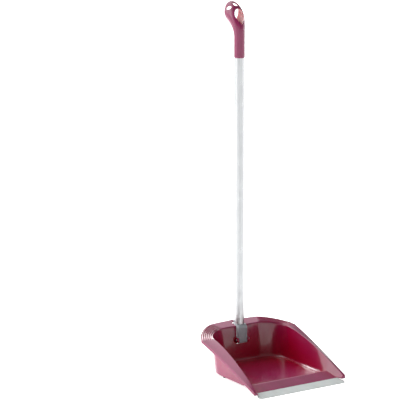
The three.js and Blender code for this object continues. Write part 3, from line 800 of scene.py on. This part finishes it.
def boot_body():
    """The block round the pin, with a front plate that runs up to the tube."""
    plate_y = BOOT_LOW.y
    under = BOOT_LOW.z
    outline = [
        (plate_y, under),
        (PIVOT_Y + 4, under),
        (TUBE_RADIUS - 1, PIVOT_Z),
        (TUBE_RADIUS, PIVOT_Z + 4),
        (TUBE_RADIUS, BOOT_SHOULDER),
        (-TUBE_RADIUS, BOOT_SHOULDER),
        (plate_y, PLATE_TOP),
    ]
    flat = flat_rounded(outline, [4, 2, 2, 2, 0.5, 1.5, 1.5], 8)
    made = prism_across("handle_boot_moulding", flat, -BOOT_HALF_WIDTH, BOOT_HALF_WIDTH)
    soften(made, 1.1, 4, 60)
    return made


def boot_panel():
    """The sunk panel in the front plate, a little wider at its mouth."""
    border = 3.2
    half_width = BOOT_HALF_WIDTH - border
    bottom = BOOT_LOW.z + 5
    top = PLATE_TOP - border
    depths_and_growth = ((-2, 0.9), (0, 0.5), (0.9, 0.1), (1, -0.2))
    rings = []
    for depth, grow in depths_and_growth:
        corners = [
            (-half_width - grow, bottom - grow),
            (half_width + grow, bottom - grow),
            (half_width + grow, top + grow),
            (-half_width - grow, top + grow),
        ]
        flat = flat_rounded(corners, [2, 2, 2, 2], 6)
        rings.append([(x, BOOT_LOW.y + depth, z) for x, z in flat])
    return skin("panel", rings)


def handle_boot():
    """Block, hollow spigot for the tube and latch tab, bored for the pin."""
    body = boot_body()
    radius = TUBE_RADIUS - TUBE_WALL - GAP
    top = BOOT_HIGH.z
    chamfer = 1.5
    bore = 6.5
    root = BOOT_SHOULDER - 4
    bore_floor = BOOT_SHOULDER + 2
    spigot = [
        (0, root),
        (radius, root),
        (radius, top - chamfer),
        (radius - chamfer, top),
        (bore, top),
        (bore, bore_floor),
        (0, bore_floor),
    ]
    add(body, lathe("spigot", spigot, sides=72), boot_latch())
    cut(body, boot_panel(), pin_hole())
    shade(body)
    return body


def boot_latch():
    """The tab behind the tube that meets the end of the notch."""
    back = BOOT_HIGH.y
    half_width = 5
    top = BOOT_SHOULDER + 5.7
    foot = BOOT_SHOULDER - 14
    heel = BOOT_SHOULDER - 7
    outline = [
        (0, foot),
        (TUBE_RADIUS, foot),
        (back, heel),
        (back, top),
        (TUBE_RADIUS + GAP, top),
        (TUBE_RADIUS + GAP, BOOT_SHOULDER),
        (0, BOOT_SHOULDER),
    ]
    flat = flat_rounded(outline, [0, 1, 3, 1.8, 0.8, 0, 0], 6)
    made = prism_across("latch", flat, -half_width, half_width)
    soften(made, 0.6, 3, 60)
    return made


def hinge_pin():
    head_end = PIN_LOW.x
    head_inner = -CHEEK_OUTER - GAP
    profile = [
        (0, head_end),
        (HEAD_RADIUS - 0.9, head_end),
        (HEAD_RADIUS - 0.3, head_end + 0.25),
        (HEAD_RADIUS, head_end + 0.7),
        (HEAD_RADIUS, head_inner),
        (PIN_RADIUS, head_inner),
        (PIN_RADIUS, PIN_HIGH.x - 0.3),
        (PIN_RADIUS - 0.3, PIN_HIGH.x),
        (0, PIN_HIGH.x),
    ]
    pin = lathe_across("hinge_pin_turned", profile, PIVOT_Y, PIVOT_Z)
    shade(pin, 35)
    return pin


def pin_cap():
    inner = CAP_LOW.x
    outer = CAP_HIGH.x
    hole_end = PIN_HIGH.x + GAP
    bore = PIN_RADIUS + GAP
    profile = [
        (0, outer),
        (HEAD_RADIUS - 1, outer),
        (HEAD_RADIUS - 0.3, outer - 0.3),
        (HEAD_RADIUS, outer - 0.9),
        (HEAD_RADIUS, inner),
        (bore, inner),
        (bore, hole_end),
        (0, hole_end),
    ]
    cap = lathe_across("pin_cap_moulded", profile, PIVOT_Y, PIVOT_Z)
    shade(cap, 35)
    return cap


# ---------------------------------------------------------------- grip

GRIP_BOTTOM = GRIP_LOW.z
COLLAR_WALL = 1.3
COLLAR_RADIUS = TUBE_RADIUS + GAP + COLLAR_WALL
BEND_START = GRIP_BOTTOM + 49
BEND_REACH = 44
BEND_RISE = 58
HOOD_HALF_WIDTH = GRIP_HIGH.x
HOOD_HALF_DEPTH = 22.8
HOOD_FULL = 65  # degrees round the bend to where the hood reaches its full size
GRIP_WALL = 2.2

# The bent cut that opens the hood: (y, z) from the end of the bend and the grip's lower end.
MOUTH_TOP = (-8, 132)
MOUTH_CORNER = (-12, 84)
MOUTH_BOTTOM = (-24, 66)
MOUTH_ROUND = 10

EYE_HALF_WIDTH = 11.5
EYE_HALF_HEIGHT = 19
EYE_BEND = 42  # degrees round the bend to the middle of the eye
CROWN_HOLE = (4.7, 7)  # half sizes of each small oval on the crown
CROWN_BEND = 69
CROWN_SPREAD = 48  # degrees between them, round the bar
CROWN_FAN = 45  # how far the outer two lean
THROAT_HOLE = (6.5, 8)
THROAT_RISE = 54
THROAT_START = 3  # how far behind the handle's axis its cutter starts


def grip_section(degrees):
    """A section of the bar: its centre and lean on the neck's curve, and its half sizes."""
    angle = math.radians(degrees)
    widen = ease(degrees, 0, HOOD_FULL)
    centre = Vector((0, BEND_REACH * (1 - math.cos(angle)), BEND_START + BEND_RISE * math.sin(angle)))
    lean = math.atan2(BEND_REACH * math.sin(angle), BEND_RISE * math.cos(angle))
    half_width = mix(COLLAR_RADIUS, HOOD_HALF_WIDTH, widen)
    half_depth = mix(COLLAR_RADIUS, HOOD_HALF_DEPTH, widen)
    return centre, lean, half_width, half_depth


def grip_ring(section, inset):
    """The oval outline of a section, shrunk by inset."""
    centre, lean, half_width, half_depth = section
    forward = Vector((0, -math.cos(lean), math.sin(lean)))
    sides = 112
    ring = []
    for k in range(sides):
        angle = 2 * math.pi * k / sides
        across = Vector((math.sin(angle) * (half_width - inset), 0, 0))
        ring.append(centre + across + forward * (math.cos(angle) * (half_depth - inset)))
    return ring


def grip_bar(name, inset, bottom):
    """The neck and hood as one bent oval bar, shrunk by inset, from a height to past the mouth."""
    start = grip_section(0)
    rings = [grip_ring((Vector((0, 0, bottom)), *start[1:]), inset)]
    steps = 60
    rings += [grip_ring(grip_section(90 * k / steps), inset) for k in range(steps + 1)]
    end = grip_section(90)
    past = Vector((0, HOOD_HALF_DEPTH + inset, 0))
    rings.append(grip_ring((end[0] + past, *end[1:]), inset))
    return skin(name, rings)


def mouth():
    """Everything behind the bent cut that opens the hood."""
    corners = (MOUTH_TOP, MOUTH_CORNER, MOUTH_BOTTOM)
    top, corner, bottom = [(BEND_REACH + y, GRIP_BOTTOM + z) for y, z in corners]
    clear = 3 * HOOD_HALF_DEPTH
    outline = [
        bottom,
        (bottom[0] + clear, bottom[1]),
        (top[0] + clear, top[1] + clear),
        (top[0], top[1] + clear),
        top,
        corner,
    ]
    flat = flat_rounded(outline, [0, 0, 0, 0, 0, MOUTH_ROUND], 16)
    return prism_across("mouth", flat, -2 * HOOD_HALF_WIDTH, 2 * HOOD_HALF_WIDTH)


def punch(outline, degrees, spread):
    """A punch out through the bar at a bend angle, turned sideways, from an (across, along) outline."""
    centre, lean, _, half_depth = grip_section(degrees)
    forward = Vector((0, -math.cos(lean), math.sin(lean)))
    along = Vector((0, math.sin(lean), math.cos(lean)))
    right = Vector((1, 0, 0))
    out = forward * math.cos(spread) + right * math.sin(spread)
    side = right * math.cos(spread) - forward * math.sin(spread)
    near = 2
    far = half_depth + 12
    rings = []
    for reach in (near, far):
        rings.append([centre + out * reach + side * a + along * b for a, b in outline])
    return skin("punch", rings)


def bezier(p, a, b, q, steps):
    """Points on a cubic curve from p up to, but without, q."""
    points = []
    for k in range(steps):
        t = k / steps
        s = 1 - t
        weights = (s**3, 3 * s * s * t, 3 * s * t * t, t**3)
        points.append(tuple(sum(w * c[i] for w, c in zip(weights, (p, a, b, q))) for i in (0, 1)))
    return points


def eye_outline():
    """A drop with its point down."""
    w, h = EYE_HALF_WIDTH, EYE_HALF_HEIGHT
    right = bezier((0, -h), (w * 0.35, -h * 0.8), (w, -h * 0.35), (w, h * 0.25), 18)
    right += bezier((w, h * 0.25), (w, h * 0.75), (w * 0.55, h), (0, h), 18)
    return right + [(-x, y) for x, y in reversed(right[1:])]


def oval(half_width, half_height, turned=0, steps=44):
    """An oval outline, turned in its plane by an angle in radians."""
    cosine, sine = math.cos(turned), math.sin(turned)
    points = []
    for k in range(steps):
        angle = 2 * math.pi * k / steps
        x = half_width * math.cos(angle)
        y = half_height * math.sin(angle)
        points.append((x * cosine - y * sine, x * sine + y * cosine))
    return points


def throat():
    """The opening in the back of the neck."""
    height = GRIP_BOTTOM + THROAT_RISE
    depths = (THROAT_START, THROAT_START + 2 * COLLAR_RADIUS)
    rings = [[(x, y, height + z) for x, z in oval(*THROAT_HOLE)] for y in depths]
    return skin("throat", rings)


def grip():
    """The hollow bent bar with its collar, mouth and openings."""
    body = grip_bar("grip_moulding", 0, GRIP_BOTTOM)
    bore = TUBE_RADIUS + GAP
    bore_top = TUBE_HIGH.z + GAP
    bevel = 1.2
    clear = 3
    under = GRIP_BOTTOM - PAST
    ring = [
        (COLLAR_RADIUS - bevel, under),
        (COLLAR_RADIUS + clear, under),
        (COLLAR_RADIUS + clear, GRIP_BOTTOM + bevel + clear),
        (COLLAR_RADIUS - bevel, GRIP_BOTTOM),
    ]
    cut(
        body,
        grip_bar("hollow", GRIP_WALL, bore_top - PAST),
        lathe("bore", [(0, under), (bore, under), (bore, bore_top), (0, bore_top)]),
        lathe("bevel", ring),
        mouth(),
        throat(),
        punch(eye_outline(), EYE_BEND, 0),
    )
    for side in (-1, 0, 1):
        hole = oval(*CROWN_HOLE, -side * math.radians(CROWN_FAN))
        cut(body, punch(hole, CROWN_BEND, side * math.radians(CROWN_SPREAD)))
    mould(body, voxel=0.6, rounds=4)
    return body


# ---------------------------------------------------------------- materials


def srgb(*channels):
    """Linear colour from sRGB parts of 255."""
    linear = []
    for c in channels:
        c /= 255
        linear.append(c / 12.92 if c <= 0.04045 else ((c + 0.055) / 1.055) ** 2.4)
    return (*linear, 1)


class Look:
    """A Principled material with helpers for its procedural detail."""

    def __init__(self, name):
        self.material = bpy.data.materials.new(name)
        self.material.use_nodes = True
        self.tree = self.material.node_tree
        self.shader = self.tree.nodes["Principled BSDF"]
        coordinates = self.tree.nodes.new("ShaderNodeTexCoord")
        self.place = coordinates.outputs["Object"]

    def set(self, **values):
        for name, value in values.items():
            self.shader.inputs[name.replace("_", " ")].default_value = value

    def link(self, a, b):
        self.tree.links.new(a, b)

    def noise(self, scale, detail=3, stretch=(1, 1, 1)):
        """Noise over the object, with features of about 1/scale metres."""
        mapping = self.tree.nodes.new("ShaderNodeMapping")
        mapping.inputs["Scale"].default_value = stretch
        self.link(self.place, mapping.inputs["Vector"])
        node = self.tree.nodes.new("ShaderNodeTexNoise")
        node.inputs["Scale"].default_value = scale
        node.inputs["Detail"].default_value = detail
        self.link(mapping.outputs["Vector"], node.inputs["Vector"])
        return node.outputs["Fac"]

    def band(self, source, low, high, to_low, to_high):
        """source between low and high, mapped to another range."""
        node = self.tree.nodes.new("ShaderNodeMapRange")
        node.inputs["From Min"].default_value = low
        node.inputs["From Max"].default_value = high
        node.inputs["To Min"].default_value = to_low
        node.inputs["To Max"].default_value = to_high
        self.link(source, node.inputs["Value"])
        return node.outputs["Result"]

    def blend(self, factor, first, second):
        """A colour mixed between two colours, each a value or a socket."""
        node = self.tree.nodes.new("ShaderNodeMix")
        node.data_type = "RGBA"
        self.link(factor, node.inputs["Factor"])
        for name, colour in (("A", first), ("B", second)):
            socket = [s for s in node.inputs if s.name == name and s.type == "RGBA"][0]
            if isinstance(colour, tuple):
                socket.default_value = colour
            else:
                self.link(colour, socket)
        return [s for s in node.outputs if s.type == "RGBA"][0]

    def painted_cavity_shade(self, distance):
        """A mask for painted shade in hollows, from ambient occlusion: 0 deep inside a hollow, where light
        has bounced off the plastic many times, and 1 outside.
        """
        node = self.tree.nodes.new("ShaderNodeAmbientOcclusion")
        node.samples = 12
        node.only_local = True
        node.inputs["Distance"].default_value = distance
        return self.band(node.outputs["AO"], 0.5, 1.0, 0, 1)

    def worn_edges(self, low=0.54, high=0.62):
        """1 on the sharpest outward edges and 0 elsewhere."""
        geometry = self.tree.nodes.new("ShaderNodeNewGeometry")
        return self.band(geometry.outputs["Pointiness"], low, high, 0, 1)

    def bump(self, *layers):
        """Bump from (height source, strength, distance in mm) layers."""
        normal = None
        for source, strength, distance in layers:
            node = self.tree.nodes.new("ShaderNodeBump")
            node.inputs["Strength"].default_value = strength
            node.inputs["Distance"].default_value = distance * MM
            self.link(source, node.inputs["Height"])
            if normal is not None:
                self.link(normal, node.inputs["Normal"])
            normal = node.outputs["Normal"]
        self.link(normal, self.shader.inputs["Normal"])


def raspberry_plastic():
    """Glossy injection-moulded polypropylene with faint flow marks, lighter, rubbed edges and painted shade
    that deepens its colour in hollows.
    """
    look = Look("raspberry_polypropylene")
    flow = look.noise(18, 2, (1, 1, 0.35))
    surface = look.blend(look.band(flow, 0.3, 0.7, 0, 1), srgb(114, 16, 64), srgb(126, 20, 74))
    # Painted shade: the base colour turns deep crimson inside hollows, by the ambient-occlusion mask.
    colour = look.blend(look.painted_cavity_shade(0.14), srgb(150, 0, 30), surface)
    colour = look.blend(look.worn_edges(), colour, srgb(190, 80, 125))
    look.link(colour, look.shader.inputs["Base Color"])
    haze = look.noise(60, 4)
    look.link(look.band(haze, 0.3, 0.75, 0.16, 0.27), look.shader.inputs["Roughness"])
    look.bump((look.noise(240, 2), 0.08, 0.2), (look.noise(22, 1), 0.05, 0.6))
    look.set(Coat_Weight=0.3, Coat_Roughness=0.05, IOR=1.48)
    return look.material


def light_rubber():
    """Matt pale rubber with a fine grain, a little grubby."""
    look = Look("light_grey_rubber")
    grime = look.noise(34, 5)
    colour = look.blend(look.band(grime, 0.45, 0.75, 0, 0.5), srgb(184, 189, 188), srgb(158, 161, 158))
    look.link(colour, look.shader.inputs["Base Color"])
    look.link(look.band(grime, 0.3, 0.7, 0.5, 0.68), look.shader.inputs["Roughness"])
    look.bump((look.noise(1500, 2), 0.25, 0.06), (look.noise(90, 2), 0.1, 0.3))
    return look.material


def dark_rubber():
    look = Look("dark_rubber")
    dust = look.noise(300, 4)
    colour = look.blend(look.band(dust, 0.5, 0.8, 0, 0.6), srgb(38, 34, 40), srgb(86, 78, 84))
    look.link(colour, look.shader.inputs["Base Color"])
    look.link(look.band(dust, 0.3, 0.7, 0.6, 0.8), look.shader.inputs["Roughness"])
    look.bump((look.noise(1400, 2), 0.3, 0.08))
    return look.material


def grey_plastic():
    """Satin moulded plastic with a fine spark-eroded grain."""
    look = Look("grey_satin_plastic")
    tone = look.noise(50, 3)
    colour = look.blend(look.band(tone, 0.35, 0.7, 0, 1), srgb(136, 141, 146), srgb(150, 155, 160))
    colour = look.blend(look.worn_edges(), colour, srgb(176, 180, 182))
    look.link(colour, look.shader.inputs["Base Color"])
    look.link(look.band(tone, 0.3, 0.7, 0.34, 0.46), look.shader.inputs["Roughness"])
    look.bump((look.noise(2200, 2), 0.22, 0.05))
    return look.material


def satin_aluminium():
    """Anodised drawn tube: fine lines along its length and faint handling marks."""
    look = Look("satin_aluminium")
    lines = look.noise(900, 3, (1, 1, 0.004))
    marks = look.noise(45, 5)
    colour = look.blend(look.band(lines, 0.3, 0.7, 0, 1), srgb(168, 170, 172), srgb(192, 194, 195))
    look.link(colour, look.shader.inputs["Base Color"])
    look.link(look.band(marks, 0.3, 0.75, 0.26, 0.4), look.shader.inputs["Roughness"])
    look.bump((lines, 0.12, 0.04), (look.noise(30, 2), 0.05, 0.4))
    look.set(Metallic=1.0)
    return look.material


def pin_steel():
    look = Look("pin_steel")
    lines = look.noise(1600, 2, (0.05, 1, 1))
    colour = look.blend(look.band(lines, 0.3, 0.7, 0, 1), srgb(118, 120, 124), srgb(140, 142, 145))
    look.link(colour, look.shader.inputs["Base Color"])
    look.link(look.band(lines, 0.3, 0.7, 0.25, 0.4), look.shader.inputs["Roughness"])
    look.bump((lines, 0.2, 0.03))
    look.set(Metallic=1.0)
    return look.material


# ---------------------------------------------------------------- pieces on the frame


def fit(piece, node, body, material):
    """Puts a finished piece in place of its CAD node."""
    piece.data.materials.clear()
    piece.data.materials.append(material)
    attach(piece, body)
    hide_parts(node)


raspberry = raspberry_plastic()
pale = light_rubber()
dark = dark_rubber()
grey = grey_plastic()
aluminium = satin_aluminium()

fit(pan_body(), "pan_body", "pan", raspberry)
fit(lip_strip(), "lip_strip", "pan", pale)
for corner_name in ("front_right", "front_left", "rear_right", "rear_left"):
    node_name = "foot_" + corner_name
    fit(foot_pad(node_name), node_name, "pan", dark)
fit(hinge_pin(), "hinge_pin", "pan", pin_steel())
fit(pin_cap(), "pin_cap", "pan", grey)
fit(handle_tube(), "handle_tube", "handle", aluminium)
fit(handle_boot(), "handle_boot", "handle", grey)
fit(grip(), "grip", "handle", raspberry)

# ---------------------------------------------------------------- floor, light and camera

BRIGHT_SIDE = (-0.45, 0.85, 0.28)  # towards the bright side of the studio
DIM_LIGHT = 0.3
BRIGHT_LIGHT = 3.1
LIGHT_FADE = (0.3, 0.75)  # cosines between which dim turns to bright

AIM_HEIGHT = 0.3  # of the point that the soft boxes face

VIEW_AZIMUTH = -32.894  # degrees round from the front, and up
VIEW_ELEVATION = 12.368
VIEW_DISTANCE = 5.7228
VIEW_HEIGHT = 0.45  # of the point that the camera looks at


def floor():
    """A wide pale floor that also gives some light of its own."""
    mesh = bpy.data.meshes.new("floor")
    half = 30
    corners = [(-half, -half, 0), (half, -half, 0), (half, half, 0), (-half, half, 0)]
    mesh.from_pydata(corners, [], [(0, 1, 2, 3)])
    plane = bpy.data.objects.new("floor", mesh)
    bpy.context.scene.collection.objects.link(plane)
    look = Look("pale_floor")
    look.set(Base_Color=(0.9, 0.9, 0.9, 1), Roughness=0.9, Specular_IOR_Level=0.1)
    look.set(Emission_Color=(1, 1, 1, 1), Emission_Strength=0.6)
    mesh.materials.append(look.material)


def soft_box(name, direction, distance, size, power):
    """A rectangular soft light aimed at the middle of the part."""
    lamp = bpy.data.lights.new(name, "AREA")
    lamp.shape = "RECTANGLE"
    lamp.size, lamp.size_y = size
    lamp.energy = power
    holder = bpy.data.objects.new(name, lamp)
    aim = AXIS + Vector((0, 0, AIM_HEIGHT))
    holder.location = aim + Vector(direction).normalized() * distance
    holder.rotation_euler = (aim - holder.location).to_track_quat("-Z", "Y").to_euler()
    bpy.context.scene.collection.objects.link(holder)


def studio():
    """White all round as the camera sees it, lit by a bright side, a dim side and soft boxes."""
    world = bpy.data.worlds.new("studio")
    world.use_nodes = True
    tree = world.node_tree
    light = tree.nodes["Background"]
    light.inputs["Color"].default_value = (1, 1, 1, 1)
    seen = tree.nodes.new("ShaderNodeBackground")
    seen.inputs["Color"].default_value = (1, 1, 1, 1)
    direction = tree.nodes.new("ShaderNodeTexCoord")
    side = tree.nodes.new("ShaderNodeVectorMath")
    side.operation = "DOT_PRODUCT"
    side.inputs[1].default_value = BRIGHT_SIDE
    fade = tree.nodes.new("ShaderNodeMapRange")
    fade.interpolation_type = "SMOOTHSTEP"
    fade.inputs["From Min"].default_value = LIGHT_FADE[0]
    fade.inputs["From Max"].default_value = LIGHT_FADE[1]
    fade.inputs["To Min"].default_value = DIM_LIGHT
    fade.inputs["To Max"].default_value = BRIGHT_LIGHT
    rays = tree.nodes.new("ShaderNodeLightPath")
    pick = tree.nodes.new("ShaderNodeMixShader")
    tree.links.new(direction.outputs["Generated"], side.inputs[0])
    tree.links.new(side.outputs["Value"], fade.inputs["Value"])
    tree.links.new(fade.outputs["Result"], light.inputs["Strength"])
    tree.links.new(rays.outputs["Is Camera Ray"], pick.inputs["Fac"])
    tree.links.new(light.outputs["Background"], pick.inputs[1])
    tree.links.new(seen.outputs["Background"], pick.inputs[2])
    tree.links.new(pick.outputs["Shader"], tree.nodes["World Output"].inputs["Surface"])
    bpy.context.scene.world = world
    bpy.context.scene.view_settings.view_transform = "Standard"
    soft_box("left_box", direction=(-1, 0.25, 0.35), distance=2.2, size=(0.6, 2.4), power=6)
    soft_box("back_box", direction=(-0.1, 1, 0.5), distance=2.6, size=(2.2, 0.8), power=60)
    soft_box("right_box", direction=(1, -0.35, 0.5), distance=2.6, size=(0.35, 2.2), power=12)


def camera():
    """A long lens from the left of the pan's mouth and a little above it."""
    azimuth = math.radians(VIEW_AZIMUTH)
    elevation = math.radians(VIEW_ELEVATION)
    away = Vector(
        (
            math.sin(azimuth) * math.cos(elevation),
            -math.cos(azimuth) * math.cos(elevation),
            math.sin(elevation),
        )
    )
    data = bpy.data.cameras.new("camera")
    data.lens = 219.66
    data.sensor_width = 36
    data.shift_x = -0.0986
    data.shift_y = -0.0546
    data.clip_end = 100
    holder = bpy.data.objects.new("camera", data)
    holder.location = AXIS + Vector((0, 0, VIEW_HEIGHT)) + away * VIEW_DISTANCE
    holder.rotation_euler = (-away).to_track_quat("-Z", "Y").to_euler()
    bpy.context.scene.collection.objects.link(holder)
    bpy.context.scene.camera = holder


floor()
studio()
camera()
